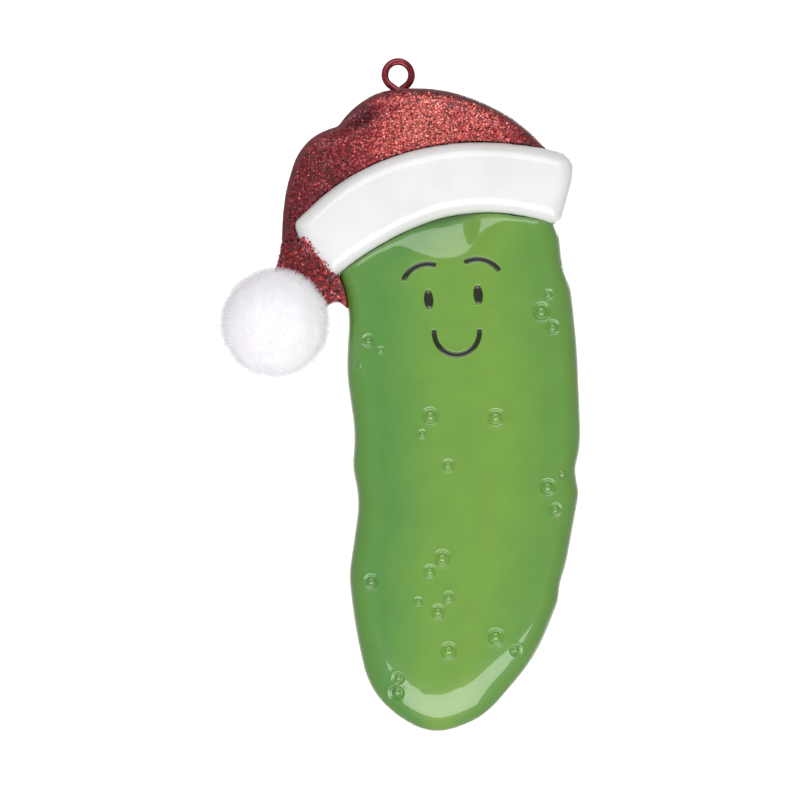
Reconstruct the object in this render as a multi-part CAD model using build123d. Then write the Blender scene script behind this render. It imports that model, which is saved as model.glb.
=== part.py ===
from build123d import *
import os
from math import cos, pi, radians, sin, tan

# A flat-backed hanging figure: a smiling pickle in a soft winter hat, cast in resin, with
# a wire eye let into the hat and a fibre pom-pom glued to the hat's tail.
# Millimetres. +X is the viewer's right, +Z is up and the figure looks along -Y.
# The origin is the middle of the wire eye, where the figure hangs.

# ---- Pickle ----
PICKLE_LENGTH = 83.0        # foot to the highest point of the seam under the brim
PICKLE_WIDTH = 37.6
PICKLE_THICKNESS = 8.0
SHOULDER_RADIUS = 3.2       # where the front rolls over into the side wall
EYE_SHARE = -0.552          # where the wire eye stands, in half widths from the centre line

# ---- Hat ----
BRIM_HEIGHT = 11.3
BRIM_PROUD = 1.6            # brim's front before the pickle's
BRIM_EDGE_RADIUS = 1.4
BRIM_CORNER_RADIUS = 1.5
BRIM_RIGHT_RADIUS = 2.2     # the softer corner at the upper right
CROWN_HEIGHT = 8.8          # above the highest point of the brim
CROWN_THICKNESS = 8.0
CROWN_EDGE_RADIUS = 3.0
FOLD_THICKNESS = 7.2        # the fold that slumps to the left and down into the tail
FOLD_EDGE_RADIUS = 2.4
TAIL_TOP_DROP = 16.0        # brim's highest point down to where the loose tail begins
TAIL_THICKNESS = 4.6        # at the seat of the pom-pom

# ---- Pom-pom ----
POM_POM_DIAMETER = 17.4
POM_POM_FACETS = (12, 24)   # from pole to pole and round the plain ball
POM_POM_DROP = 29.0         # brim's highest point down to the pom-pom's middle
POM_POM_SHARE = -1.589      # half widths from the centre line
POM_POM_SINK = 1.6          # how deep its dished seat is
GLUE_THICKNESS = 0.4

# ---- Wire eye ----
WIRE_DIAMETER = 1.15
EYE_HOLE = 3.1
EYE_ABOVE_CROWN = 2.1       # middle of the eye over the top of the crown
EYE_SETBACK = 3.4           # middle of the wire in front of the flat back
LEG_ANGLE = 37.0            # degrees from straight down to where each leg leaves the loop
LEG_GAP = 0.12              # between the legs where they cross
LEG_LENGTH = 7.4            # from the loop to the cut end, splayed in the resin to hold

# ---- Face ----
FACE_SHARE = -0.085
FACE_HEIGHT_SHARE = 0.837
FACE_TILT = 5.5             # degrees
EYE_SPACING = 7.9
EYE_WIDTH = 1.35
EYE_HEIGHT = 2.9
BROW_RADIUS = 4.26
BROW_STROKE = 0.7
BROW_RISE = 1.4             # middle of the brow's arc above the eyes
BROW_ARC = (34.0, 108.0)    # degrees, on the right brow
SMILE_RADIUS = 3.6
SMILE_STROKE = 0.65
SMILE_DROP = 5.6
SMILE_ARC = (174.0, 357.0)  # degrees
GROOVE_DEPTH = 0.6
ENAMEL_SINK = 0.12          # enamel's surface below the pickle's

# ---- Warts, each a dome in a shallow dish, in shares of the dish's rim diameter ----
WART_SIDES = 10
DISH_FLOOR = (0.29, -0.13)      # radius, and height over the pickle's surface
DOME_SHOULDER = (0.24, 0.01)
DOME_TOP = (0.13, 0.09)

# Outline of the pickle: (share of the length, share of the half width).
LEFT_FLANK = (
    (0.878, -1.060), (0.851, -1.005), (0.795, -0.968), (0.746, -0.985), (0.690, -0.992),
    (0.592, -0.930), (0.555, -0.925), (0.511, -0.945), (0.466, -0.900), (0.430, -0.893),
    (0.347, -0.945), (0.302, -0.975), (0.200, -0.920), (0.110, -0.830), (0.070, -0.740),
    (0.034, -0.580),
)
FOOT = ((0.008, -0.385), (0.0, -0.220), (0.008, -0.050))
RIGHT_FLANK = (
    (0.028, 0.145), (0.053, 0.273), (0.146, 0.622), (0.254, 0.812), (0.285, 0.821),
    (0.324, 0.877), (0.420, 0.954), (0.463, 0.988), (0.486, 0.963), (0.511, 0.954),
    (0.538, 0.986), (0.571, 1.000), (0.746, 0.971), (0.860, 0.915), (0.907, 0.833),
    (0.953, 0.784),
)
HEAD = ((1.08, 0.35), (1.09, 0.0), (1.06, -0.45), (0.99, -0.85), (0.93, -1.04))

# Outline of the brim: (half widths from the centre line, rise in half widths over the
# highest point of the edge, and the radius in millimetres of a corner that has its own).
BRIM_TOP = (
    (-1.440, -0.690, BRIM_CORNER_RADIUS), (-1.133, -0.400), (-0.813, -0.205),
    (-0.468, -0.075), (-0.128, -0.010), (0.170, 0.004), (0.440, -0.015), (0.716, -0.060),
    (0.925, -0.125, BRIM_RIGHT_RADIUS), (0.930, -0.300),
)
BRIM_BOTTOM = (
    (0.815, -0.110, BRIM_CORNER_RADIUS), (0.520, -0.035), (0.213, 0.005), (-0.128, -0.022),
    (-0.468, -0.145), (-0.813, -0.340), (-1.110, -0.560, BRIM_CORNER_RADIUS),
    (-1.245, -0.419), (-1.370, -0.299),
)

# Outline of the crown over the brim: (half widths, share of the crown's height above the
# brim's highest point). The last points close it behind the brim.
CROWN = (
    (0.716, -0.13), (0.622, 0.09), (0.443, 0.42), (0.170, 0.73), (-0.128, 0.945),
    (-0.426, 1.00), (-0.724, 0.925), (-0.928, 0.65), (-1.073, 0.29), (-1.130, -0.10),
    (-1.080, -0.52), (-0.877, -0.80), (-0.366, -0.75), (0.230, -0.75), (0.520, -0.86),
    (0.700, -0.70), (0.760, -0.42),
)
# Outline of the fold and the tail, in the same shares.
FOLD = (
    (-0.850, -0.05), (-0.920, 0.22), (-1.060, 0.30), (-1.167, 0.227), (-1.269, 0.117),
    (-1.363, -0.073), (-1.431, -0.31), (-1.508, -0.85), (-1.537, -1.35), (-1.545, -1.84),
    (-1.580, -2.25), (-1.690, -2.60), (-1.750, -3.00), (-1.690, -3.38), (-1.520, -3.54),
    (-1.340, -3.42), (-1.220, -3.12), (-1.141, -2.93), (-1.060, -2.88), (-0.960, -3.06),
    (-0.800, -3.08), (-0.700, -2.70), (-0.780, -2.20), (-0.960, -1.65), (-1.020, -1.10),
    (-0.920, -0.50),
)

# Warts: (share of the half width, share of the length, diameter of the dish's rim).
WARTS = (
    (-0.809, 0.754, 2.1), (-0.698, 0.737, 1.1), (-0.886, 0.706, 1.3), (-0.281, 0.609, 2.7),
    (-0.349, 0.575, 1.4), (0.273, 0.607, 2.7), (-0.132, 0.514, 2.1), (0.721, 0.842, 1.6),
    (0.659, 0.810, 2.9), (0.755, 0.779, 2.2), (0.848, 0.498, 1.6), (0.713, 0.473, 2.6),
    (0.779, 0.430, 2.1), (-0.179, 0.337, 2.6), (-0.284, 0.312, 2.1), (-0.779, 0.293, 2.2),
    (-0.380, 0.254, 1.4), (-0.128, 0.262, 1.9), (-0.217, 0.235, 2.2), (-0.128, 0.160, 2.6),
    (-0.555, 0.107, 1.9), (-0.571, 0.078, 2.4), (0.273, 0.186, 2.6), (0.443, 0.160, 1.9),
)

BRIM_TOP_Z = -EYE_ABOVE_CROWN - CROWN_HEIGHT
SEAM_Z = BRIM_TOP_Z - BRIM_HEIGHT
FOOT_Z = SEAM_Z - PICKLE_LENGTH
POM_POM_Z = BRIM_TOP_Z - POM_POM_DROP
BACK = Plane.XZ.offset(-EYE_SETBACK)
ARC_SHARE = 0.98            # of the shorter run, that an outline's arcs may take up


def across(share):
    """X of a point, from its distance off the pickle's centre line in half widths."""
    return (share - EYE_SHARE) * PICKLE_WIDTH / 2


def up(share):
    """Z of a point, from its height over the pickle's foot as a share of the length."""
    return FOOT_Z + share * PICKLE_LENGTH


def rounded(points):
    """Closed outline whose corners are arcs, each as large as its two runs allow."""
    corners = [Vector(point[0], point[1]) for point in points]
    radii = []
    for i, corner in enumerate(corners):
        before, after = corner - corners[i - 1], corners[(i + 1) % len(corners)] - corner
        room = ARC_SHARE * min(before.length, after.length) / 2
        largest = room / tan(radians(before.get_angle(after)) / 2)
        radii.append(points[i][2] if len(points[i]) > 2 else largest)
    return FilletPolyline(*corners, radius=radii, close=True)


def slab(outline, thickness):
    """Flat-backed block with a closed outline drawn on the back plane."""
    return extrude(BACK * make_face(outline), thickness)


def cushion(outline, thickness, edge_radius):
    """Flat-backed block whose front edge rolls over."""
    block = slab(outline, thickness)
    return fillet(block.faces().sort_by(Axis.Y)[0].edges(), edge_radius)


def pickle_outline():
    points = LEFT_FLANK + FOOT + RIGHT_FLANK + HEAD
    return rounded([(across(side), up(height)) for height, side in points])


def brim_outline():
    return rounded([(across(side), top + rise * PICKLE_WIDTH / 2, *own)
                    for edge, top in ((BRIM_TOP, BRIM_TOP_Z), (BRIM_BOTTOM, SEAM_Z))
                    for side, rise, *own in edge])


def hat_outline(points):
    return rounded([(across(side), BRIM_TOP_Z + rise * CROWN_HEIGHT) for side, rise in points])


def in_front_of_tail():
    """Everything before the tail's sloping front, which thins towards the pom-pom."""
    top_z = BRIM_TOP_Z - TAIL_TOP_DROP
    top_y = EYE_SETBACK - FOLD_THICKNESS
    seat_y = EYE_SETBACK - TAIL_THICKNESS
    slope = (seat_y - top_y) / (top_z - POM_POM_Z)
    reach = POM_POM_DIAMETER
    side = Polyline((top_y, top_z), (seat_y + slope * reach, POM_POM_Z - reach),
                    (top_y - reach, POM_POM_Z - reach), (top_y - reach, top_z), close=True)
    return extrude(Plane.YZ * make_face(side), 2 * PICKLE_WIDTH, both=True)


def below(z):
    reach = PICKLE_LENGTH
    return Pos(0, 0, z - reach / 2) * Box(2 * reach, reach, reach)


def hat(neighbours):
    """The crown with its fold, and the tail that hangs from it beside the brim."""
    crown = cushion(hat_outline(CROWN), CROWN_THICKNESS, CROWN_EDGE_RADIUS)
    fold = cushion(hat_outline(FOLD), FOLD_THICKNESS, FOLD_EDGE_RADIUS)
    form = crown + fold - neighbours
    tail_zone = below(BRIM_TOP_Z - TAIL_TOP_DROP)
    return form - tail_zone, (form & tail_zone) - in_front_of_tail()


def groove_floor():
    """Plane of the grooves' floor, turned with the face and centred between its eyes."""
    depth = PICKLE_THICKNESS - GROOVE_DEPTH
    middle = (across(FACE_SHARE), EYE_SETBACK - depth, up(FACE_HEIGHT_SHARE))
    tilt = radians(FACE_TILT)
    return Plane(origin=middle, x_dir=(cos(tilt), 0, sin(tilt)), z_dir=(0, -1, 0))


def stroke(middle, radius, arc, width):
    start, end = arc
    return SlotArc(CenterArc(middle, radius, start, end - start), width)


def face_marks():
    """Flat shapes of the five enamelled marks."""
    half = EYE_SPACING / 2
    first, last = BROW_ARC
    oval = Ellipse(EYE_WIDTH / 2, EYE_HEIGHT / 2)
    return {
        "left_eye": Pos(-half, 0) * oval,
        "right_eye": Pos(half, 0) * oval,
        "left_brow": stroke((-half, BROW_RISE), BROW_RADIUS, (180 - last, 180 - first), BROW_STROKE),
        "right_brow": stroke((half, BROW_RISE), BROW_RADIUS, BROW_ARC, BROW_STROKE),
        "smile": stroke((0, -SMILE_DROP), SMILE_RADIUS, SMILE_ARC, SMILE_STROKE),
    }


def tapered(*rings):
    """Many-sided block through rings given as a radius and a height."""
    return loft([Pos(0, 0, height) * RegularPolygon(radius, WART_SIDES) for radius, height in rings],
                ruled=True)


def wart_tools(body):
    """The shallow dishes to cut and the domes that stand in them, square to the surface."""
    dish = tapered(DISH_FLOOR, (0.5, 0.0))
    dome = tapered(DISH_FLOOR, DOME_SHOULDER, DOME_TOP)
    dishes, domes = [], []
    for side, height, rim in WARTS:
        line = Axis((across(side), -10 * PICKLE_THICKNESS, up(height)), (0, 1, 0))
        point, normal = body.find_intersection_points(line)[0]
        square_to_it = Plane(origin=point, z_dir=normal)
        dishes.append(square_to_it * scale(dish, by=rim))
        domes.append(square_to_it * scale(dome, by=rim))
    return dishes, domes


def pickle_and_enamel(brim_column):
    """The body with its warts and grooves, and the enamel that lies in the grooves."""
    body = cushion(pickle_outline(), PICKLE_THICKNESS, SHOULDER_RADIUS)
    dishes, domes = wart_tools(body)
    body = body - brim_column - dishes + domes
    marks = {}
    for name, shape in face_marks().items():
        floor = groove_floor() * shape
        marks[name] = extrude(floor, GROOVE_DEPTH - ENAMEL_SINK)
        body -= extrude(floor, GROOVE_DEPTH)
    return body, marks


def hanging_eye():
    """One wire: a turn of a shallow helix, whose tangent ends cross and run into the crown."""
    radius = (EYE_HOLE + WIRE_DIAMETER) / 2
    turn = 360 - 2 * LEG_ANGLE
    around = radius * (radians(turn) + 2 * tan(radians(LEG_ANGLE)))
    pitch = 2 * pi * radius * (WIRE_DIAMETER + LEG_GAP) / around
    rise = pitch * turn / 360
    loop = Pos(0, 0, -rise / 2) * Edge.make_helix(pitch, rise, radius)
    loop = loop.rotate(Axis.Z, LEG_ANGLE - 90).rotate(Axis.X, 90)
    first = Line(loop @ 0 - (loop % 0) * LEG_LENGTH, loop @ 0)
    last = Line(loop @ 1, loop @ 1 + (loop % 1) * LEG_LENGTH)
    path = Wire([*first.edges(), *loop.edges(), *last.edges()])
    return sweep(Plane(path @ 0, z_dir=path % 0) * Circle(WIRE_DIAMETER / 2), path)


def pom_pom_middle():
    """Middle of the ball, from the depth of its dished seat and the glue under it."""
    behind = TAIL_THICKNESS - POM_POM_SINK + GLUE_THICKNESS + POM_POM_DIAMETER / 2
    return Pos(across(POM_POM_SHARE), EYE_SETBACK - behind, POM_POM_Z)


def ball(radius):
    """Plain closed ball in flat facets; the loose fibres end at its outside."""
    along, around = POM_POM_FACETS
    turns = [radians(180 * i / along - 90) for i in range(1, along)]
    rings = [Pos(0, 0, radius * sin(turn)) * RegularPolygon(radius * cos(turn), around)
             for turn in turns]
    return pom_pom_middle() * loft([Vertex(0, 0, -radius), *rings, Vertex(0, 0, radius)], ruled=True)


def build():
    pickle_column = slab(pickle_outline(), 2 * PICKLE_THICKNESS)
    brim_column = slab(brim_outline(), 2 * PICKLE_THICKNESS)
    pickle_body, marks = pickle_and_enamel(brim_column)
    crown, tail = hat([brim_column, pickle_column])
    eye = hanging_eye()
    pom_pom = ball(POM_POM_DIAMETER / 2)
    seat = ball(POM_POM_DIAMETER / 2 + GLUE_THICKNESS)
    return {
        "pickle_body": pickle_body,
        "hat_brim": cushion(brim_outline(), PICKLE_THICKNESS + BRIM_PROUD, BRIM_EDGE_RADIUS),
        "hat_crown": crown - eye,
        "hat_tail": tail - seat,
        "hanging_eye": eye,
        "pom_pom": pom_pom,
        "pom_pom_glue": (tail & seat) - pom_pom,
        **marks,
    }


os.makedirs("parts", exist_ok=True)
for name, shape in build().items():
    export_step(shape, f"parts/{name}.step")
    print(name, len(shape.solids()), round(shape.volume, 1), shape.is_valid)
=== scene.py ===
import bmesh, bpy, math, random
import numpy as np
from mathutils import Matrix, Vector, noise
from mathutils.bvhtree import BVHTree


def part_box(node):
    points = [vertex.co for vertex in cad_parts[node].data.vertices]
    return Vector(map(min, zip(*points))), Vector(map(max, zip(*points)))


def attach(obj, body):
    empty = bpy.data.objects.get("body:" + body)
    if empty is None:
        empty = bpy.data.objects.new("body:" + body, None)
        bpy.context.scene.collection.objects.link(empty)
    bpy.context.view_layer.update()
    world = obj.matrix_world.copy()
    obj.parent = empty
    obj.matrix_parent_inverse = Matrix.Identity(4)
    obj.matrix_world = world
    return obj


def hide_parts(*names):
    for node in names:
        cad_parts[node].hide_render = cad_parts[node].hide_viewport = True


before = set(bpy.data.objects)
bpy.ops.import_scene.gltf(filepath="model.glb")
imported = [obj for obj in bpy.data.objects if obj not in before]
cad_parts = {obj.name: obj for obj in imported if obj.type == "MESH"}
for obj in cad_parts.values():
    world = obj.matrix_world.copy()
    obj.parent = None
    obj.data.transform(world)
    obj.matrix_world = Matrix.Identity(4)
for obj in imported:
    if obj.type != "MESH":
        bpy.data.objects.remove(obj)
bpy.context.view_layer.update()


# ---------------------------------------------------------------- camera and studio
# The figure hangs upright before a plain white studio, seen square on through a long
# lens. Two wide soft boxes, one high and one low, lie as pale patches on the gloss.
MM = 0.001
PHOTO_HIGH = 129.4 * MM         # what the photograph's long side spans at the figure
PHOTO_MIDDLE = (-0.2 * MM, -52.7 * MM)
CAMERA_BACK = 0.62
SENSOR = 36.0
SKY = 0.42                      # strength of the even light from all round


def studio_light(name, place, aim, size, watts):
    """A soft box or a flat lamp that faces the point it is aimed at."""
    lamp = bpy.data.lights.new(name, "AREA")
    lamp.shape, lamp.size, lamp.size_y, lamp.energy = "RECTANGLE", *size, watts
    holder = bpy.data.objects.new(name, lamp)
    holder.location = place
    holder.rotation_mode = "QUATERNION"
    holder.rotation_quaternion = (Vector(aim) - Vector(place)).to_track_quat("-Z", "Y")
    bpy.context.scene.collection.objects.link(holder)


camera = bpy.data.objects.new("camera", bpy.data.cameras.new("camera"))
camera.data.sensor_width = SENSOR
camera.data.lens = SENSOR * CAMERA_BACK / PHOTO_HIGH
camera.location = (PHOTO_MIDDLE[0], -CAMERA_BACK, PHOTO_MIDDLE[1])
camera.rotation_euler = (math.radians(90), 0, 0)
bpy.context.scene.collection.objects.link(camera)
bpy.context.scene.camera = camera
bpy.context.scene.view_settings.view_transform = "Standard"

# Each light's place, the point it faces, its width and height, and its watts.
MIDDLE = (0, 0, -52 * MM)
studio_light("high_box", (-0.02, -0.40, 0.31), MIDDLE, (0.50, 0.34), 1.15)
studio_light("low_box", (0.02, -0.42, -0.42), MIDDLE, (0.66, 0.34), 2.3)
studio_light("backdrop_light", (0, 1.1, 0.1), (0, 3.0, 0.0), (3.0, 3.0), 62.0)
studio_light("rear_fill", (0.5, 0.9, 0.4), MIDDLE, (0.5, 0.5), 3.0)


def material(name):
    """A new material and its shader, with every socket at the shader's own value."""
    made = bpy.data.materials.new(name)
    made.use_nodes = True
    return made, made.node_tree.nodes["Principled BSDF"]


def join(made, out, node, socket):
    made.node_tree.links.new(out, node.inputs[socket])


def feed(made, value, node, socket):
    """Joins another node's output to a socket, or gives the socket a plain value."""
    if isinstance(value, bpy.types.NodeSocket):
        join(made, value, node, socket)
    else:
        node.inputs[socket].default_value = value


def add(made, kind, **values):
    """Adds a node. Names with a leading underscore set its sockets, the others itself."""
    made_node = made.node_tree.nodes.new("ShaderNode" + kind)
    for key, value in values.items():
        if key.startswith("_"):
            feed(made, value, made_node, key[1:].replace("_", " "))
        else:
            setattr(made_node, key, value)
    return made_node


def ramp(made, factor, *stops):
    """Colours between stops of (position, colour)."""
    made_node = add(made, "ValToRGB", _Fac=factor)
    points = made_node.color_ramp.elements
    while len(points) < len(stops):
        points.new(0.5)
    for point, (position, colour) in zip(points, stops):
        point.position, point.color = position, (*colour, 1)
    return made_node.outputs["Color"]


def cloud(made, scale, detail=3.0):
    """Noise over the piece, with a scale in waves per metre."""
    place = add(made, "TexCoord").outputs["Object"]
    return add(made, "TexNoise", _Vector=place, _Scale=scale, _Detail=detail).outputs["Fac"]


# A pale floor well below the figure, which curves up into a far backdrop.
FLOOR_BELOW = -0.9
FLOOR_NEAR, FLOOR_LONG, FLOOR_HALF = -2.5, 4.0, 4.0
SWEEP, SWEEP_TURN = 1.5, math.radians(85)
white_paper, shader = material("white_paper")
shader.inputs["Roughness"].default_value = 0.85
join(white_paper, ramp(white_paper, cloud(white_paper, 6.0), (0.3, (0.86, 0.86, 0.86)),
                       (0.7, (0.9, 0.9, 0.9))), shader, "Base Color")
bm = bmesh.new()
near_edge = bm.edges.new([bm.verts.new((x, FLOOR_NEAR, FLOOR_BELOW))
                          for x in (-FLOOR_HALF, FLOOR_HALF)])
floor = bmesh.ops.extrude_edge_only(bm, edges=[near_edge])["geom"]
far = [item for item in floor if isinstance(item, bmesh.types.BMVert)]
bmesh.ops.translate(bm, verts=far, vec=(0, FLOOR_LONG, 0))
far += [item for item in floor if isinstance(item, bmesh.types.BMEdge)
        and all(vert in far for vert in item.verts)]
bmesh.ops.spin(bm, geom=far, cent=(0, FLOOR_NEAR + FLOOR_LONG, FLOOR_BELOW + SWEEP),
               axis=(1, 0, 0), angle=SWEEP_TURN, steps=16)
backdrop_mesh = bpy.data.meshes.new("backdrop")
bmesh.ops.recalc_face_normals(bm, faces=bm.faces)
bm.to_mesh(backdrop_mesh)
bm.free()
backdrop = bpy.data.objects.new("backdrop", backdrop_mesh)
bpy.context.scene.collection.objects.link(backdrop)
backdrop_mesh.materials.append(white_paper)
backdrop_mesh.polygons.foreach_set("use_smooth", [True] * len(backdrop_mesh.polygons))
studio = bpy.data.worlds.new("studio")
studio.use_nodes = True
all_round = studio.node_tree.nodes["Background"]
all_round.inputs["Color"].default_value = (1, 1, 1, 1)
all_round.inputs["Strength"].default_value = SKY
bpy.context.scene.world = studio


# ---------------------------------------------------------------- pickle body
# One cast of filled resin with a flat back, a pillowed front and a wavy rim. It is sprayed
# two greens and dipped in clear gloss, which pools a little round the warts and the face.
BACK_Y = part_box("pickle_body")[1].y
BODY_MESH = 0.49 * MM
BODY_HIGH = 7.7 * MM            # at the middle of the front, before the swell
BODY_ROLL = (3.0 * MM, 3.3 * MM)    # of the shoulder, inwards and forwards
BODY_LONG_ROLL = 8.6 * MM       # inwards, at the foot
LONG_ROLL_UP = 20 * MM          # from the foot to where the long roll has faded out
BODY_SWELL = 0.55 * MM
BODY_LUMPS = (0.10 * MM, 9.0 * MM)  # height and length of the waves in the cast
HEAD_DIP = 0.33                 # slope of the hollow under the middle of the brim
DIP_MIDDLE, DIP_WIDE = 8.2 * MM, 6.3 * MM
DIP_REACH = (-0.4, 7.4)         # below the brim far off, and what its middle adds, in mm
DIP_WAVES = (1.0 * MM, 3.2 * MM)    # height and length of the waves in its lower edge
FLARE = 2.0 * MM                # of the right flank, which meets the brim at its corner
FLARE_LOW, FLARE_TALL = -32 * MM, 9 * MM
FLARE_LEFT, FLARE_WIDE = 19 * MM, 3.5 * MM
FRONT_FROM = 2.5 * MM           # over the back: only what is higher is meshed finer
UPPER_FROM = 5 * MM             # over the back: what counts as the upper part of a front


def back_loop(node):
    """Closed outline of a node's flat back, as an array of X and Z."""
    bm = bmesh.new()
    bm.from_mesh(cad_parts[node].data)
    bmesh.ops.remove_doubles(bm, verts=bm.verts, dist=0.003 * MM)
    back = max(vert.co.y for vert in bm.verts) - 0.01 * MM
    rest = [face for face in bm.faces if min(v.co.y for v in face.verts) < back]
    bmesh.ops.delete(bm, geom=rest, context="FACES")
    first = next(edge for edge in bm.edges if edge.is_boundary)
    vert, edge, loop = first.verts[0], first, []
    while True:
        loop.append((vert.co.x, vert.co.z))
        vert = edge.other_vert(vert)
        edge = next(e for e in vert.link_edges if e.is_boundary and e is not edge)
        if edge is first:
            break
    bm.free()
    loop = np.array(loop)
    turn = np.roll(loop, -1, 0)
    if np.sum(loop[:, 0] * turn[:, 1] - turn[:, 0] * loop[:, 1]) < 0:
        loop = loop[::-1]
    return loop


def whole(loop):
    """All the runs of a loop, to be kept."""
    return np.ones(len(loop), bool)


def nearest(loop, kept, points):
    """Nearest place on the kept runs of a loop to each point, its distance and the way in."""
    ahead = np.roll(loop, -1, 0)
    run = ahead - loop
    inward = np.stack([-run[:, 1], run[:, 0]], 1) / np.linalg.norm(run, axis=1)[:, None]
    at_start = inward + np.roll(inward, 1, 0)
    at_end = np.roll(at_start, -1, 0)
    loop, run, at_start, at_end = loop[kept], run[kept], at_start[kept], at_end[kept]
    places, gaps, ways = [], [], []
    at_a_time = 3000
    for few in np.array_split(points, max(1, len(points) // at_a_time)):
        share = np.clip(np.einsum("pki,ki->pk", few[:, None] - loop[None], run)
                        / np.sum(run**2, 1), 0, 1)
        spot = loop[None] + share[..., None] * run[None]
        gap = np.sum((few[:, None] - spot) ** 2, 2)
        best = gap.argmin(1)
        rows = np.arange(len(few))
        t = share[rows, best][:, None]
        way = at_start[best] * (1 - t) + at_end[best] * t
        places.append(spot[rows, best])
        gaps.append(np.sqrt(gap[rows, best]))
        ways.append(way / np.linalg.norm(way, axis=1)[:, None])
    return np.vstack(places), np.hstack(gaps), np.vstack(ways)


def fine_loop(loop):
    """The same outline with its long runs cut into pieces of half a millimetre at most."""
    longest, cut = 0.5 * MM, []
    for a, b in zip(loop, np.roll(loop, -1, 0)):
        parts = max(1, math.ceil(np.linalg.norm(b - a) / longest))
        cut += [a + (b - a) * i / parts for i in range(parts)]
    return np.array(cut)


def smoothstep(x):
    x = np.clip(x, 0, 1)
    return x * x * (3 - 2 * x)


def block(loop, depth, mesh_size):
    """Evenly meshed block on a back outline: an extruded face, remeshed."""
    bm = bmesh.new()
    face = bm.faces.new([bm.verts.new((x, BACK_Y, z)) for x, z in loop])
    front = bmesh.ops.extrude_face_region(bm, geom=[face])["geom"]
    bmesh.ops.translate(bm, verts=[v for v in front if isinstance(v, bmesh.types.BMVert)],
                        vec=(0, -depth, 0))
    bmesh.ops.recalc_face_normals(bm, faces=bm.faces)
    mesh = bpy.data.meshes.new("block")
    bm.to_mesh(mesh)
    bm.free()
    held = bpy.data.objects.new("block", mesh)
    bpy.context.scene.collection.objects.link(held)
    even = held.modifiers.new("even", "REMESH")
    even.mode, even.voxel_size = "VOXEL", mesh_size
    done = held.evaluated_get(bpy.context.evaluated_depsgraph_get())
    bm = bmesh.new()
    bm.from_mesh(done.to_mesh())
    bpy.data.objects.remove(held)
    return bm


def refine(bm, wanted, times, above=FRONT_FROM):
    """Halves the mesh of the front where it is wanted, so many times."""
    for _ in range(times):
        faces = [f for f in bm.faces if BACK_Y - f.calc_center_median().y > above]
        centres = np.array([f.calc_center_median() for f in faces])[:, [0, 2]]
        chosen = [f for f, yes in zip(faces, wanted(centres)) if yes]
        edges = {edge for face in chosen for edge in face.edges}
        bmesh.ops.subdivide_edges(bm, edges=list(edges), cuts=1, use_grid_fill=True)


def pillow(loop, free, depth, roll, mesh_size, extra):
    """A block whose front rolls over at the free runs of its outline.

    roll gives how far in the shoulder reaches at each point, and how deep it is when asked
    for that, and extra raises or lowers the front at each point."""
    bm = block(loop, depth, mesh_size)
    # The shoulder is steepest next to the edge, so the mesh gets finer there in two bands.
    for close in (1.0 * MM, 0.45 * MM):
        refine(bm, lambda centres: nearest(loop, free, centres)[1] < close, 1, 0.8 * depth)
    co = np.array([vert.co for vert in bm.verts])
    flat, high = co[:, [0, 2]], BACK_Y - co[:, 1]
    spot, gap, way = nearest(loop, free, flat)
    gap = np.where(np.sum((flat - spot) * way, 1) < 0, 0, gap)
    reach, drop = roll(spot), roll(spot, True)
    arc = np.sqrt(1 - (1 - np.clip(gap / reach, 0, 1)) ** 2)
    top = depth - drop + (drop + extra(flat)) * arc
    for vert, y in zip(bm.verts, BACK_Y - np.clip(high / depth, 0, 1) * top):
        vert.co.y = y
    return bm


def open_runs(loop, *neighbours):
    """Which runs of an outline are open, and don't butt against a neighbour's outline."""
    middle, is_open, touching = (loop + np.roll(loop, -1, 0)) / 2, whole(loop), 0.12 * MM
    for other in neighbours:
        is_open &= nearest(other, whole(other), middle)[1] > touching
    return is_open


def ease(bm):
    """Evens out the heights of a front's upper part by one step."""
    upper = [vert for vert in bm.verts if BACK_Y - vert.co.y > UPPER_FROM]
    bmesh.ops.smooth_vert(bm, verts=upper, factor=0.5, use_axis_x=False, use_axis_y=True,
                          use_axis_z=False)


def waves(points, size, seed):
    """Soft waves over a front, of a size given as height and length."""
    high, length = size
    return high * np.array([noise.noise(Vector((x / length, seed, z / length)))
                            for x, z in points])


body_loop, brim_loop = fine_loop(back_loop("pickle_body")), back_loop("hat_brim")
body_open = open_runs(body_loop, brim_loop)
flare = FLARE * np.clip((body_loop[:, 1] - FLARE_LOW) / FLARE_TALL, 0, 1) ** 2
body_loop[:, 0] += flare * smoothstep((body_loop[:, 0] - FLARE_LEFT) / FLARE_WIDE)

# Where the outline crosses ninety levels, which run clear of its foot and its top.
body_low, body_top, clear = body_loop[:, 1].min(), body_loop[:, 1].max(), 0.3 * MM
levels = np.linspace(body_low + clear, body_top - clear, 90)
ahead = np.roll(body_loop, -1, 0)
crossings = [[a[0] + (level - a[1]) / (b[1] - a[1]) * (b[0] - a[0])
              for a, b in zip(body_loop, ahead) if (a[1] - level) * (b[1] - level) < 0]
             for level in levels]
left_edge, right_edge = [min(row) for row in crossings], [max(row) for row in crossings]


def body_across(points):
    """From -1 at the left rim to 1 at the right, through 0 on the curved centre line."""
    left = np.interp(points[:, 1], levels, left_edge)
    right = np.interp(points[:, 1], levels, right_edge)
    return (points[:, 0] - (left + right) / 2) / ((right - left) / 2)


def body_roll(points, forwards=False):
    """Reach of the shoulder, which gets longer towards the foot, or its depth."""
    if forwards:
        return np.full(len(points), BODY_ROLL[1])
    low = 1 - smoothstep((points[:, 1] - body_low) / LONG_ROLL_UP)
    return BODY_ROLL[0] + (BODY_LONG_ROLL - BODY_ROLL[0]) * low


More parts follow.
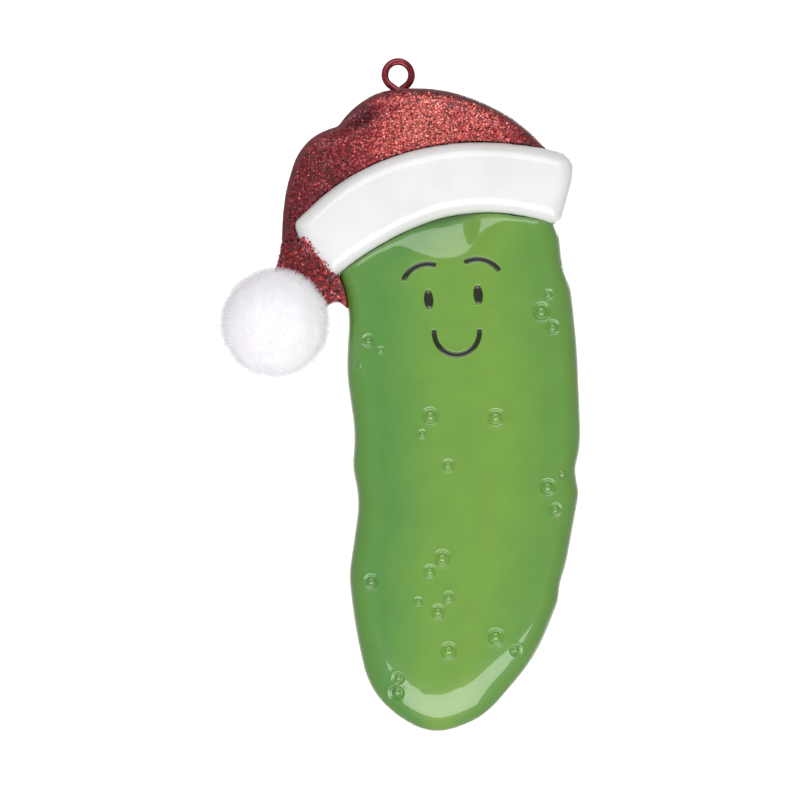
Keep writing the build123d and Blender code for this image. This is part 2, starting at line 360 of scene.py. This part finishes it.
def body_front(points):
    """The swell of the front, less the hollow that runs along below the brim."""
    across = np.clip(body_across(points), -1, 1)
    swell = BODY_SWELL * (1 - across**2)
    to_brim = nearest(brim_loop, whole(brim_loop), points)[1] + waves(points, DIP_WAVES, 2.4)
    hump = np.exp(-(((points[:, 0] - DIP_MIDDLE) / DIP_WIDE) ** 2))
    reach = (DIP_REACH[0] + DIP_REACH[1] * hump) * MM
    dip = HEAD_DIP * np.clip(reach - to_brim, 0, None)
    return swell - dip + waves(points, BODY_LUMPS, 3.7)


body = pillow(body_loop, body_open, BODY_HIGH, body_roll, BODY_MESH, body_front)
ease(body)
plain_front = BVHTree.FromBMesh(body)   # before its warts and grooves

# Warts as (x, z, diameter of the dish's rim) in millimetres, left by bubbles in the model
# that the mould was taken from: a dome that stands in a shallow dish.
WARTS = (
    (-4.8, -42.6, 2.1), (-2.8, -44.1, 1.2), (-6.2, -46.6, 1.4), (5.1, -54.6, 2.7),
    (3.8, -57.5, 1.5), (15.5, -54.8, 2.7), (7.9, -62.5, 2.1), (23.9, -35.3, 1.7),
    (22.8, -38.0, 2.9), (24.6, -40.5, 2.3), (26.3, -63.8, 1.7), (23.8, -65.9, 2.6),
    (25.0, -69.5, 2.1), (7.0, -77.2, 2.6), (5.0, -79.3, 2.1), (-4.3, -80.9, 2.3),
    (3.2, -84.1, 1.5), (8.0, -83.4, 1.9), (6.3, -85.7, 2.3), (8.0, -91.9, 2.6),
    (0.0, -96.3, 1.9), (-0.3, -98.7, 2.4), (15.5, -89.7, 2.6), (18.7, -91.9, 1.9),
)
WART_OUT = 0.55                 # how far a wart reaches from its middle, in rims
WART_FOOT = 0.56                # of the dome, as a share of that
WART_END = 1.5                  # of the low lip round the dish, as a share of it
WART_DEEP, WART_DOME = 0.11, 0.20   # the dish, and the dome over its floor, in rims
WART_LIP = (0.022, 1.08, 0.15)  # height in rims, place and width as shares
WART_FINE, GROOVE_FINE = (0.62, 0.2), 0.5   # finer mesh round them, in rims and mm, and mm
PIT_WIDE, PIT_DEEP = 0.45 * MM, 0.06 * MM
PITS = ((8.1, -41.6), (7.3, -31.6), (-0.4, -28.3), (13.7, -24.8), (-2.9, -60.4), (4.3, -97.9),
        (7.0, -97.2), (9.6, -99.0), (18.0, -50.5), (12.4, -71.0), (-3.6, -66.3))
FACE_MIDDLE = (8.77 * MM, -35.73 * MM)
FACE_TILT = math.radians(5.5)
GROOVE_DEEP, GROOVE_WALL = 0.42 * MM, 0.22 * MM
GROOVE_EASE = 0.10 * MM         # by which the groove is wider than its stroke, on each side
GROOVE_LIP = (0.035 * MM, 0.22 * MM, 0.16 * MM)     # height, place and width
# Strokes of the face in its own tilted frame, in millimetres: centre, radius, first and last
# degree, half of the stroke's width. A radius of nought is an upright oval of that height.
STROKES = {
    "left_eye": ((-3.95, 0.0), 0.0, 0, 2.95, 0.68),
    "right_eye": ((3.95, 0.0), 0.0, 0, 2.95, 0.68),
    "left_brow": ((-3.95, 1.4), 4.26, 72, 146, 0.37),
    "right_brow": ((3.95, 1.4), 4.26, 34, 108, 0.37),
    "smile": ((0.0, -5.6), 3.6, 174, 357, 0.35),
}


def from_stroke(points, stroke):
    """Distance of each point from a stroke's middle line, and its half width there."""
    (cx, cy), radius, first, last, half = stroke
    cos, sin = math.cos(FACE_TILT), math.sin(FACE_TILT)
    dx, dz = (points - np.array(FACE_MIDDLE)).T / MM
    x, y = dx * cos + dz * sin - cx, -dx * sin + dz * cos - cy
    if radius == 0:
        return np.hypot(x, y * half / (last / 2)) * MM, half * MM
    angle = np.degrees(np.arctan2(y, x)) % 360
    middle = (first + last) / 2
    off = (angle - middle + 180) % 360 - 180
    held = np.radians(middle + np.clip(off, (first - last) / 2, (last - first) / 2))
    return np.hypot(x - radius * np.cos(held), y - radius * np.sin(held)) * MM, half * MM


def from_dot(points, x, z):
    """Distance of each point from a place given in millimetres."""
    return np.hypot(points[:, 0] - x * MM, points[:, 1] - z * MM)


def near_detail(points):
    """Which points are on a wart or a groove, or so close that they want a finer mesh."""
    close = np.zeros(len(points), bool)
    for x, z, rim in WARTS:
        close |= from_dot(points, x, z) < (rim * WART_FINE[0] + WART_FINE[1]) * MM
    for stroke in STROKES.values():
        gap, half = from_stroke(points, stroke)
        close |= gap < half + GROOVE_FINE * MM
    return close


def ridge(gaps, high, place, wide):
    """Height of a low round ridge at each distance."""
    return high * np.exp(-(((gaps - place) / wide) ** 2))


def wart_height(share):
    """Height of a wart over the surface, in rims, at each share of its reach."""
    dome = -WART_DEEP + WART_DOME * np.sqrt(np.clip(1 - (share / WART_FOOT) ** 2, 0, 1))
    dish = -WART_DEEP * (1 - smoothstep((share - WART_FOOT) / (1 - WART_FOOT)))
    return np.where(share < WART_FOOT, dome, dish) + ridge(share, *WART_LIP)


refine(body, near_detail, 2)
body.normal_update()
fronts = [v for v in body.verts if BACK_Y - v.co.y > FRONT_FROM and v.normal.y < -0.2]
flat = np.array([(v.co.x, v.co.z) for v in fronts])
rise = np.zeros(len(fronts))
for x, z, rim in WARTS:
    share = from_dot(flat, x, z) / (rim * MM * WART_OUT)
    rise += np.where(share < WART_END, wart_height(share) * rim * MM, 0)
for x, z in PITS:
    rise -= ridge(from_dot(flat, x, z), PIT_DEEP, 0, PIT_WIDE)
for stroke in STROKES.values():
    gap, half = from_stroke(flat, stroke)
    rise -= GROOVE_DEEP * smoothstep((half + GROOVE_EASE - gap) / GROOVE_WALL)
    rise += ridge(gap - half, *GROOVE_LIP)
for vert, up, normal in zip(fronts, rise, [v.normal.copy() for v in fronts]):
    vert.co += normal * up

# Two measures for the paint: the way across the cast, and the distance from its open edge
# in millimetres, to which the side wall adds, so that only its two edges count as near.
rim_layer = body.verts.layers.float.new("rim")
across_layer = body.verts.layers.float.new("across")
flat = np.array([(v.co.x, v.co.z) for v in body.verts])
up = BACK_Y - np.array([v.co.y for v in body.verts])
rims = nearest(body_loop, body_open, flat)[1] / MM
rims += np.clip(np.minimum(BODY_HIGH - BODY_ROLL[1] - up, up - 0.5 * MM), 0, None) / MM
for vert, rim, across in zip(body.verts, rims, body_across(flat)):
    vert[rim_layer], vert[across_layer] = rim, across


def bump(made, shader, height, strength, distance):
    made_node = add(made, "Bump", _Height=height, _Strength=strength, _Distance=distance)
    join(made, made_node.outputs["Normal"], shader, "Normal")


def blend_of(made, factor, first, second, how="MIX"):
    """A colour blended from two, each a plain colour or another node's output."""
    made_node = add(made, "Mix", data_type="RGBA", blend_type=how)
    for value, socket in ((factor, 0), (first, 6), (second, 7)):
        feed(made, value, made_node, socket)
    return made_node.outputs[2]


def piece(name, bm, finish, *replaced, slot=None, smooth=True):
    """Makes the piece from its bmesh, gives it its finish and fixes it in the frame."""
    mesh = bpy.data.meshes.new(name)
    bm.to_mesh(mesh)
    bm.free()
    made = bpy.data.objects.new(name, mesh)
    bpy.context.scene.collection.objects.link(made)
    mesh.materials.append(finish)
    mesh.polygons.foreach_set("use_smooth", [smooth] * len(mesh.polygons))
    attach(made, "root")
    if replaced:
        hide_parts(*replaced)
    return made


green_enamel, shader = material("green_enamel")
across = add(green_enamel, "Attribute", attribute_name="across").outputs["Fac"]
wander = add(green_enamel, "Math", operation="MULTIPLY_ADD")
for socket, value in enumerate((cloud(green_enamel, 70.0, 2.0), 0.20, across)):
    feed(green_enamel, value, wander, socket)
shifted = add(green_enamel, "MapRange", _Value=wander.outputs[0], _From_Min=-0.90, _From_Max=1.10)
spray = ramp(green_enamel, shifted.outputs["Result"],
             (0.00, (0.100, 0.270, 0.028)), (0.14, (0.074, 0.258, 0.032)),
             (0.36, (0.140, 0.325, 0.028)), (0.64, (0.152, 0.338, 0.026)),
             (0.86, (0.108, 0.290, 0.030)), (1.00, (0.115, 0.275, 0.030)))
mottle = ramp(green_enamel, cloud(green_enamel, 260.0, 4.0), (0.35, (0.95, 0.96, 0.95)),
              (0.65, (1.03, 1.02, 1.0)))
toned = blend_of(green_enamel, 1.0, spray, mottle, "MULTIPLY")
rim_gap = add(green_enamel, "Attribute", attribute_name="rim").outputs["Fac"]
olive = (0.17, 0.22, 0.03, 1)   # where the paint thins out on the edge
thin = add(green_enamel, "MapRange", _Value=rim_gap, _From_Min=0.05, _From_Max=0.6, _To_Min=0.55,
           _To_Max=0.0)
join(green_enamel, blend_of(green_enamel, thin.outputs["Result"], toned, olive),
     shader, "Base Color")
shader.inputs["Roughness"].default_value = 0.38
shader.inputs["Coat Weight"].default_value = 1.0
shader.inputs["Coat Roughness"].default_value = 0.035
shader.inputs["Coat IOR"].default_value = 1.6
bump(green_enamel, shader, cloud(green_enamel, 420.0, 2.0), 0.10, 0.0002)
piece("pickle_cast", body, green_enamel, "pickle_body", slot="green_enamel")


# ---------------------------------------------------------------- face
# Black enamel is run into the engraved eyes, brows and smile with a fine brush. It dries
# glossy and a little hollow, below the lips of the grooves.
black_enamel, shader = material("black_enamel")
join(black_enamel, ramp(black_enamel, cloud(black_enamel, 900.0), (0.3, (0.006, 0.008, 0.002)),
                        (0.75, (0.012, 0.014, 0.005))), shader, "Base Color")
shader.inputs["Roughness"].default_value = 0.14
shader.inputs["Coat Weight"].default_value = 0.6
shader.inputs["Coat Roughness"].default_value = 0.05
bump(black_enamel, shader, cloud(black_enamel, 1500.0, 2.0), 0.3, 0.00006)
ENAMEL_DEEP = 0.24 * MM         # from the front before its grooves to the enamel's middle
EYE_THICK, LINE_THICK = 0.34 * MM, 0.19 * MM    # half of each, front to back


def from_front(surface, x, z):
    """Point and direction of a surface seen from the front at X and Z, if it is there."""
    return surface.ray_cast(Vector((x, -0.05, z)), Vector((0, 1, 0)))[:2]


for name, ((cx, cy), radius, first, last, half) in STROKES.items():
    bm = bmesh.new()
    wide = half * MM + GROOVE_EASE
    if radius == 0:
        bmesh.ops.create_icosphere(bm, subdivisions=4, radius=1.0)
        tall = last / 2 * MM + GROOVE_EASE
        bmesh.ops.scale(bm, verts=bm.verts, vec=(wide, EYE_THICK, tall))
    else:
        ring = bmesh.ops.create_circle(bm, segments=16, radius=1.0)["verts"]
        bmesh.ops.scale(bm, verts=ring, vec=(wide, LINE_THICK, 1))
        bmesh.ops.translate(bm, verts=ring, vec=(radius * MM, 0, 0))
        turned = Matrix.Rotation(-math.radians(first), 4, "Y")
        bmesh.ops.transform(bm, matrix=turned, verts=ring)
        steps = max(24, int((last - first) / 3))
        bmesh.ops.spin(bm, geom=bm.verts[:] + bm.edges[:], axis=(0, 1, 0), cent=(0, 0, 0),
                       angle=-math.radians(last - first), steps=steps)
        bmesh.ops.holes_fill(bm, edges=[edge for edge in bm.edges if edge.is_boundary])
        for end in (first, last):
            tip = Vector((radius * MM * math.cos(math.radians(end)), 0,
                          radius * MM * math.sin(math.radians(end))))
            cap = bmesh.ops.create_icosphere(bm, subdivisions=3, radius=1.0)["verts"]
            bmesh.ops.scale(bm, verts=cap, vec=(wide, LINE_THICK, wide))
            bmesh.ops.translate(bm, verts=cap, vec=tip)
        bmesh.ops.recalc_face_normals(bm, faces=bm.faces)
    bmesh.ops.translate(bm, verts=bm.verts, vec=(cx * MM, 0, cy * MM))
    tilt = Matrix.Rotation(-FACE_TILT, 4, "Y")
    bmesh.ops.transform(bm, matrix=tilt, verts=bm.verts)
    for vert in bm.verts:
        x, z = vert.co.x + FACE_MIDDLE[0], vert.co.z + FACE_MIDDLE[1]
        spot, _ = from_front(plain_front, x, z)
        vert.co = (x, spot.y + ENAMEL_DEEP + vert.co.y, z)
    piece(name + "_enamel", bm, black_enamel, name, slot="black_enamel")


# ---------------------------------------------------------------- hat's brim
# The raised band is part of the cast, brushed with glossy white enamel, and stands proud
# of the pickle and the crown with a soft roll along both edges.
BRIM_MESH = 0.36 * MM
BRIM_HIGH = 9.2 * MM
BRIM_ROLL = 2.6 * MM
BRIM_SWELL = (0.35 * MM, 5.5 * MM)  # height, and how far in from the edge it is reached
BRIM_LUMPS = (0.05 * MM, 7 * MM)


def brim_roll(points, forwards=False):
    return np.full(len(points), BRIM_ROLL)


def brim_front(points):
    gap = nearest(brim_loop, whole(brim_loop), points)[1]
    return BRIM_SWELL[0] * smoothstep(gap / BRIM_SWELL[1]) + waves(points, BRIM_LUMPS, 8.1)


brim = pillow(brim_loop, whole(brim_loop), BRIM_HIGH, brim_roll, BRIM_MESH, brim_front)
white_enamel, shader = material("white_enamel")
join(white_enamel, ramp(white_enamel, cloud(white_enamel, 120.0, 3.0), (0.3, (0.80, 0.80, 0.79)),
                        (0.7, (0.88, 0.88, 0.875))), shader, "Base Color")
shader.inputs["Roughness"].default_value = 0.30
shader.inputs["Coat Weight"].default_value = 0.8
shader.inputs["Coat Roughness"].default_value = 0.06
bump(white_enamel, shader, cloud(white_enamel, 500.0, 2.0), 0.12, 0.0002)
brim_copy = brim.copy()
piece("white_brim", brim, white_enamel, "hat_brim", slot="white_enamel")


# ---------------------------------------------------------------- hat's crown and tail
# Dark red paint over the cast, tacky while loose red glitter was shaken on: fine flakes on
# the crown, coarser ones that pile up on the tail and stray over the end of the brim.
red_paint, shader = material("red_paint")
join(red_paint, ramp(red_paint, cloud(red_paint, 700.0, 5.0), (0.25, (0.050, 0.003, 0.006)),
                     (0.6, (0.17, 0.007, 0.012)), (0.8, (0.30, 0.015, 0.02))),
     shader, "Base Color")
shader.inputs["Roughness"].default_value = 0.42
shader.inputs["Coat Weight"].default_value = 0.6
shader.inputs["Coat Roughness"].default_value = 0.2
bump(red_paint, shader, cloud(red_paint, 2200.0, 4.0), 0.7, 0.0003)


def paint(node, finish):
    """Gives a CAD node that is shown as it is a finish of its own."""
    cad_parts[node].data.materials.clear()
    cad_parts[node].data.materials.append(finish)


paint("hat_tail", red_paint)
CROWN_MESH = 0.4 * MM
CROWN_HIGH = 7.8 * MM
CROWN_ROLL = (3.2 * MM, 2.8 * MM)   # of the shoulder, inwards and forwards
CROWN_LUMPS = (0.3 * MM, 9 * MM)
CROWN_SLOPE = 0.13              # down to the left, from CROWN_LEFT on
CROWN_LEFT = -4 * MM
DENT = (np.array((-10.6, -8.8)) * MM, np.array((-2.6, -5.6)) * MM)  # from the notch inwards
DENT_DEEP, DENT_WIDE, DENT_FADE = 2.3 * MM, 1.3 * MM, 0.75
crown_loop, tail_loop = fine_loop(back_loop("hat_crown")), back_loop("hat_tail")
crown_open = open_runs(crown_loop, brim_loop, tail_loop)


def crown_roll(points, forwards=False):
    return np.full(len(points), CROWN_ROLL[1 if forwards else 0])


def crown_front(points):
    """Soft lumps, less the dent that runs in from the notch and the slope to the left."""
    run = DENT[1] - DENT[0]
    share = np.clip((points - DENT[0]) @ run / (run @ run), 0, 1)
    off = np.linalg.norm(points - DENT[0] - share[:, None] * run, axis=1)
    dent = ridge(off, DENT_DEEP, 0, DENT_WIDE) * (1 - DENT_FADE * share)
    to_left = CROWN_SLOPE * np.clip(CROWN_LEFT - points[:, 0], 0, None)
    return waves(points, CROWN_LUMPS, 1.4) - dent - to_left


crown = pillow(crown_loop, crown_open, CROWN_HIGH, crown_roll, CROWN_MESH, crown_front)
ease(crown)
crown_copy = crown.copy()
crown = piece("red_crown", crown, red_paint, "hat_crown", slot="red_glitter")

FLAKE_ACROSS = 0.34 * MM
FLAKE_SIZES = (0.6, 1.15)       # smallest and largest, as shares of that
FLAKE_LIFT = (0.02 * MM, 0.10 * MM)
red_flakes, shader = material("red_flakes")
# The flakes' shade holds their random tone and, on the crown, painted light and painted shade.
shade = add(red_flakes, "Attribute", attribute_name="shade").outputs["Fac"]
grain = ramp(red_flakes, shade, (0.0, (0.09, 0.003, 0.012)), (0.4, (0.30, 0.010, 0.024)),
             (0.7, (0.72, 0.07, 0.07)), (1.0, (0.95, 0.26, 0.21)))
speck = ramp(red_flakes, cloud(red_flakes, 3000.0, 1.0), (0.3, (0.85, 0.85, 0.85)),
             (0.7, (1.1, 1.1, 1.1)))
join(red_flakes, blend_of(red_flakes, 1.0, grain, speck, "MULTIPLY"), shader, "Base Color")
shader.inputs["Metallic"].default_value = 0.45
shader.inputs["Roughness"].default_value = 0.25
shader.inputs["Coat Weight"].default_value = 0.5
shader.inputs["Coat Roughness"].default_value = 0.1


def surface_points(mesh, rim, open_rim, bare, count, seed):
    """Random points on a mesh's front, with the way out. The open rim is left bare."""
    mesh.calc_loop_triangles()
    corner = np.array([vert.co for vert in mesh.vertices])
    a, b, c = corner[np.array([tri.vertices for tri in mesh.loop_triangles])].transpose(1, 0, 2)
    out = np.cross(b - a, c - a)
    area = np.maximum(np.linalg.norm(out, axis=1), 1e-15)
    rng = np.random.default_rng(seed)
    i = rng.choice(len(area), count * 5, p=area / area.sum())   # most are left out below
    u, v = rng.random((2, len(i), 1))
    over = u + v > 1
    u, v = np.where(over, 1 - u, u), np.where(over, 1 - v, v)
    spots = a[i] + (b - a)[i] * u + (c - a)[i] * v
    ways = out[i] / area[i][:, None]
    to_rim = nearest(rim, open_rim, spots[:, [0, 2]])[1]
    kept = (ways[:, 1] < -0.3) & (to_rim > bare * rng.uniform(0.75, 1.35, len(i)))
    return [(Vector(p), Vector(n)) for p, n in zip(spots[kept][:count], ways[kept][:count])]


def scatter(name, spots, across, lean, shade_of, seed):
    """Six-sided flakes laid at the spots, each leaning and shaded in its own way."""
    rng = random.Random(seed)
    bm = bmesh.new()
    corners = [v.co.copy() for v in bmesh.ops.create_circle(bm, segments=6, radius=0.5)["verts"]]
    bm.clear()
    layer = bm.verts.layers.float.new("shade")
    for spot, normal in spots:
        size = across * rng.uniform(*FLAKE_SIZES)
        tipped = normal.lerp(Vector([rng.gauss(0, 1) for _ in range(3)]), rng.uniform(0, lean))
        turn = tipped.normalized().to_track_quat("Z", "Y").to_matrix()
        turn = turn @ Matrix.Rotation(rng.random() * 6, 3, "Z")
        middle = spot + normal * rng.uniform(*FLAKE_LIFT)
        flake = [bm.verts.new(middle + turn @ corner * size) for corner in corners]
        bm.faces.new(flake)
        tone = shade_of(spot, rng)
        for vert in flake:
            vert[layer] = tone
    return piece(name, bm, red_flakes, slot="red_glitter", smooth=False)


CROWN_FLAKES, CROWN_BARE = 7500, 1.0 * MM
# Painted light on the crown's flakes centres here, and painted shade darkens them round the dent.
LIT_MIDDLE, LIT_WIDE, LIT_TALL = (6, -8), 13, 9     # of the crown's bright part, in mm
DARK_MIDDLE, DARK_WIDE = DENT[0] * 0.4 + DENT[1] * 0.6, 2.6 * MM


def crown_shade(spot, rng):
    """A flake's tone: random, with painted light that brightens the middle and the upper right,
    and painted shade that darkens the left and the dent.
    """
    x, z = spot.x / MM - LIT_MIDDLE[0], spot.z / MM - LIT_MIDDLE[1]
    lit = math.exp(-((x / LIT_WIDE) ** 2) - (z / LIT_TALL) ** 2)
    lit += 0.25 * noise.noise(spot * 160)
    away = (Vector(DARK_MIDDLE) - Vector((spot.x, spot.z))).length / DARK_WIDE
    lit -= 0.9 * math.exp(-(away**2))
    if rng.random() < 0.1:
        return 0.0
    return min(1.0, max(0.0, rng.betavariate(1.1, 2.1) * 0.8 + 0.62 * lit))


crown_spots = surface_points(crown.data, crown_loop, crown_open, CROWN_BARE, CROWN_FLAKES, 11)
scatter("crown_glitter", crown_spots, FLAKE_ACROSS, 0.35, crown_shade, 12)


def tail_shade(spot, rng):
    return rng.betavariate(2.0, 1.5) * 0.85


# The flakes that gather in front of the wire, then the tail's flakes and the ones that
# stray from it over the end of the brim, on both sides of a line from STRAY on.
WIRE_FLAKES, TAIL_FLAKES, STRAY_FLAKES = 110, 1700, 420
TAIL_BARE = 0.1 * MM
STRAY, STRAY_RUN, STRAY_SPREAD = (-15.4, -26.6), (5.9, -7.2), 0.35      # in mm
tail_spots = surface_points(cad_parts["hat_tail"].data, tail_loop, whole(tail_loop),
                            TAIL_BARE, TAIL_FLAKES, 12)
brim_surface, crown_surface = BVHTree.FromBMesh(brim_copy), BVHTree.FromBMesh(crown_copy)
rng = random.Random(31)
wire_spots = []
for _ in range(WIRE_FLAKES):
    x, z = rng.gauss(0.2, 1.0) * MM, rng.uniform(-4.4, -2.2) * MM
    spot, normal = from_front(crown_surface, x, z)
    if spot:
        wire_spots.append((spot, normal))
scatter("wire_glitter", wire_spots, FLAKE_ACROSS, 0.5, lambda spot, rng: rng.random(), 14)
for _ in range(STRAY_FLAKES):
    t = rng.random()
    x = (STRAY[0] + STRAY_RUN[0] * t + rng.gauss(0, STRAY_SPREAD)) * MM
    z = (STRAY[1] + STRAY_RUN[1] * t + rng.gauss(0, STRAY_SPREAD)) * MM
    spot, normal = from_front(brim_surface, x, z)
    if spot and BACK_Y - spot.y > UPPER_FROM:
        tail_spots.append((spot, normal))
scatter("tail_glitter", tail_spots, FLAKE_ACROSS * 1.3, 0.6, tail_shade, 13)


# ---------------------------------------------------------------- wire eye
# A bent steel wire, its two legs crossed and let into the crown. It was dipped in the
# hat's red and has caught a little of the glitter where it leaves the crown.
red_wire, shader = material("red_wire")
join(red_wire, ramp(red_wire, cloud(red_wire, 900.0, 3.0), (0.3, (0.15, 0.003, 0.010)),
                    (0.7, (0.30, 0.006, 0.018))), shader, "Base Color")
shader.inputs["Metallic"].default_value = 0.5
shader.inputs["Roughness"].default_value = 0.22
shader.inputs["Coat Weight"].default_value = 0.5
shader.inputs["Coat Roughness"].default_value = 0.06
bump(red_wire, shader, cloud(red_wire, 1600.0, 3.0), 0.35, 0.00012)
paint("hanging_eye", red_wire)


# ---------------------------------------------------------------- pom-pom
# A ball of fine white fibre, clipped round and glued into the tail's seat. Its loose
# outer fibres blur the outline.
FIBRES = 14000
CORE, FIBRE_ROOT, FIBRE_END = 0.93, 0.87, 1.04  # in radii of the ball
FIBRE_HALF = 0.022 * MM         # of a fibre's width
LOPSIDED, CLUMPS = (0.35 * MM, 2.3), (0.22 * MM, 9.0)   # height, and waves round the ball
low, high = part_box("pom_pom")
ball_middle, ball_radius = (low + high) / 2, (high.x - low.x) / 2
white_fibre, shader = material("white_fibre")
join(white_fibre, ramp(white_fibre, cloud(white_fibre, 500.0, 4.0), (0.3, (0.93, 0.90, 0.945)),
                       (0.7, (0.97, 0.955, 0.985))), shader, "Base Color")
shader.inputs["Roughness"].default_value = 0.9
shader.inputs["Sheen Weight"].default_value = 0.4
shader.inputs["Subsurface Weight"].default_value = 0.6
shader.inputs["Subsurface Radius"].default_value = (0.004, 0.004, 0.004)
shader.inputs["Subsurface Scale"].default_value = 1.0
# Painted light: a faint glow of its own lightens the ball's shaded lower side.
shader.inputs["Emission Color"].default_value = (0.94, 0.90, 0.97, 1)
shader.inputs["Emission Strength"].default_value = 0.09
bump(white_fibre, shader, cloud(white_fibre, 2500.0, 5.0), 0.5, 0.0003)
bm = bmesh.new()
bmesh.ops.create_icosphere(bm, subdivisions=5, radius=ball_radius * CORE)
for vert in bm.verts:
    way = vert.co.normalized()
    vert.co += way * sum(tall * noise.noise(way * often) for tall, often in (LOPSIDED, CLUMPS))
bmesh.ops.translate(bm, verts=bm.verts, vec=ball_middle)
core = piece("pom_pom_core", bm, white_fibre, slot="white_fibre")

rng = random.Random(5)
bm = bmesh.new()
root = ball_radius * FIBRE_ROOT
for _ in range(FIBRES):
    way = Vector([rng.gauss(0, 1) for _ in range(3)]).normalized()
    side = way.orthogonal()
    side.rotate(Matrix.Rotation(rng.uniform(0, 2 * math.pi), 3, way))
    uneven = 1 + 0.035 * noise.noise(way * LOPSIDED[1])
    tip = ball_radius * uneven * rng.uniform(0.97, 1.035)
    lean = side * rng.uniform(0.2, 1.0) * MM
    wide = way.cross(side) * FIBRE_HALF
    strip = [bm.verts.new(way * root - wide), bm.verts.new(way * root + wide)]
    for part in (0.5, 1.0):
        spine = way * (root + (tip - root) * part) + lean * part**1.5
        spine.length = min(spine.length, ball_radius * FIBRE_END)
        thin = wide * (1 - 0.6 * part)
        ahead = [bm.verts.new(spine - thin), bm.verts.new(spine + thin)]
        bm.faces.new((strip[0], strip[1], ahead[1], ahead[0]))
        strip = ahead
bmesh.ops.translate(bm, verts=bm.verts, vec=ball_middle)
fibres = piece("pom_pom_fibres", bm, white_fibre, "pom_pom", slot="white_fibre")

# The dab of set glue under the ball, seen only from behind if at all.
clear_glue, shader = material("clear_glue")
join(clear_glue, ramp(clear_glue, cloud(clear_glue, 300.0), (0.3, (0.70, 0.66, 0.58)),
                      (0.7, (0.80, 0.77, 0.70))), shader, "Base Color")
shader.inputs["Roughness"].default_value = 0.25
bump(clear_glue, shader, cloud(clear_glue, 700.0), 0.3, 0.0002)
paint("pom_pom_glue", clear_glue)
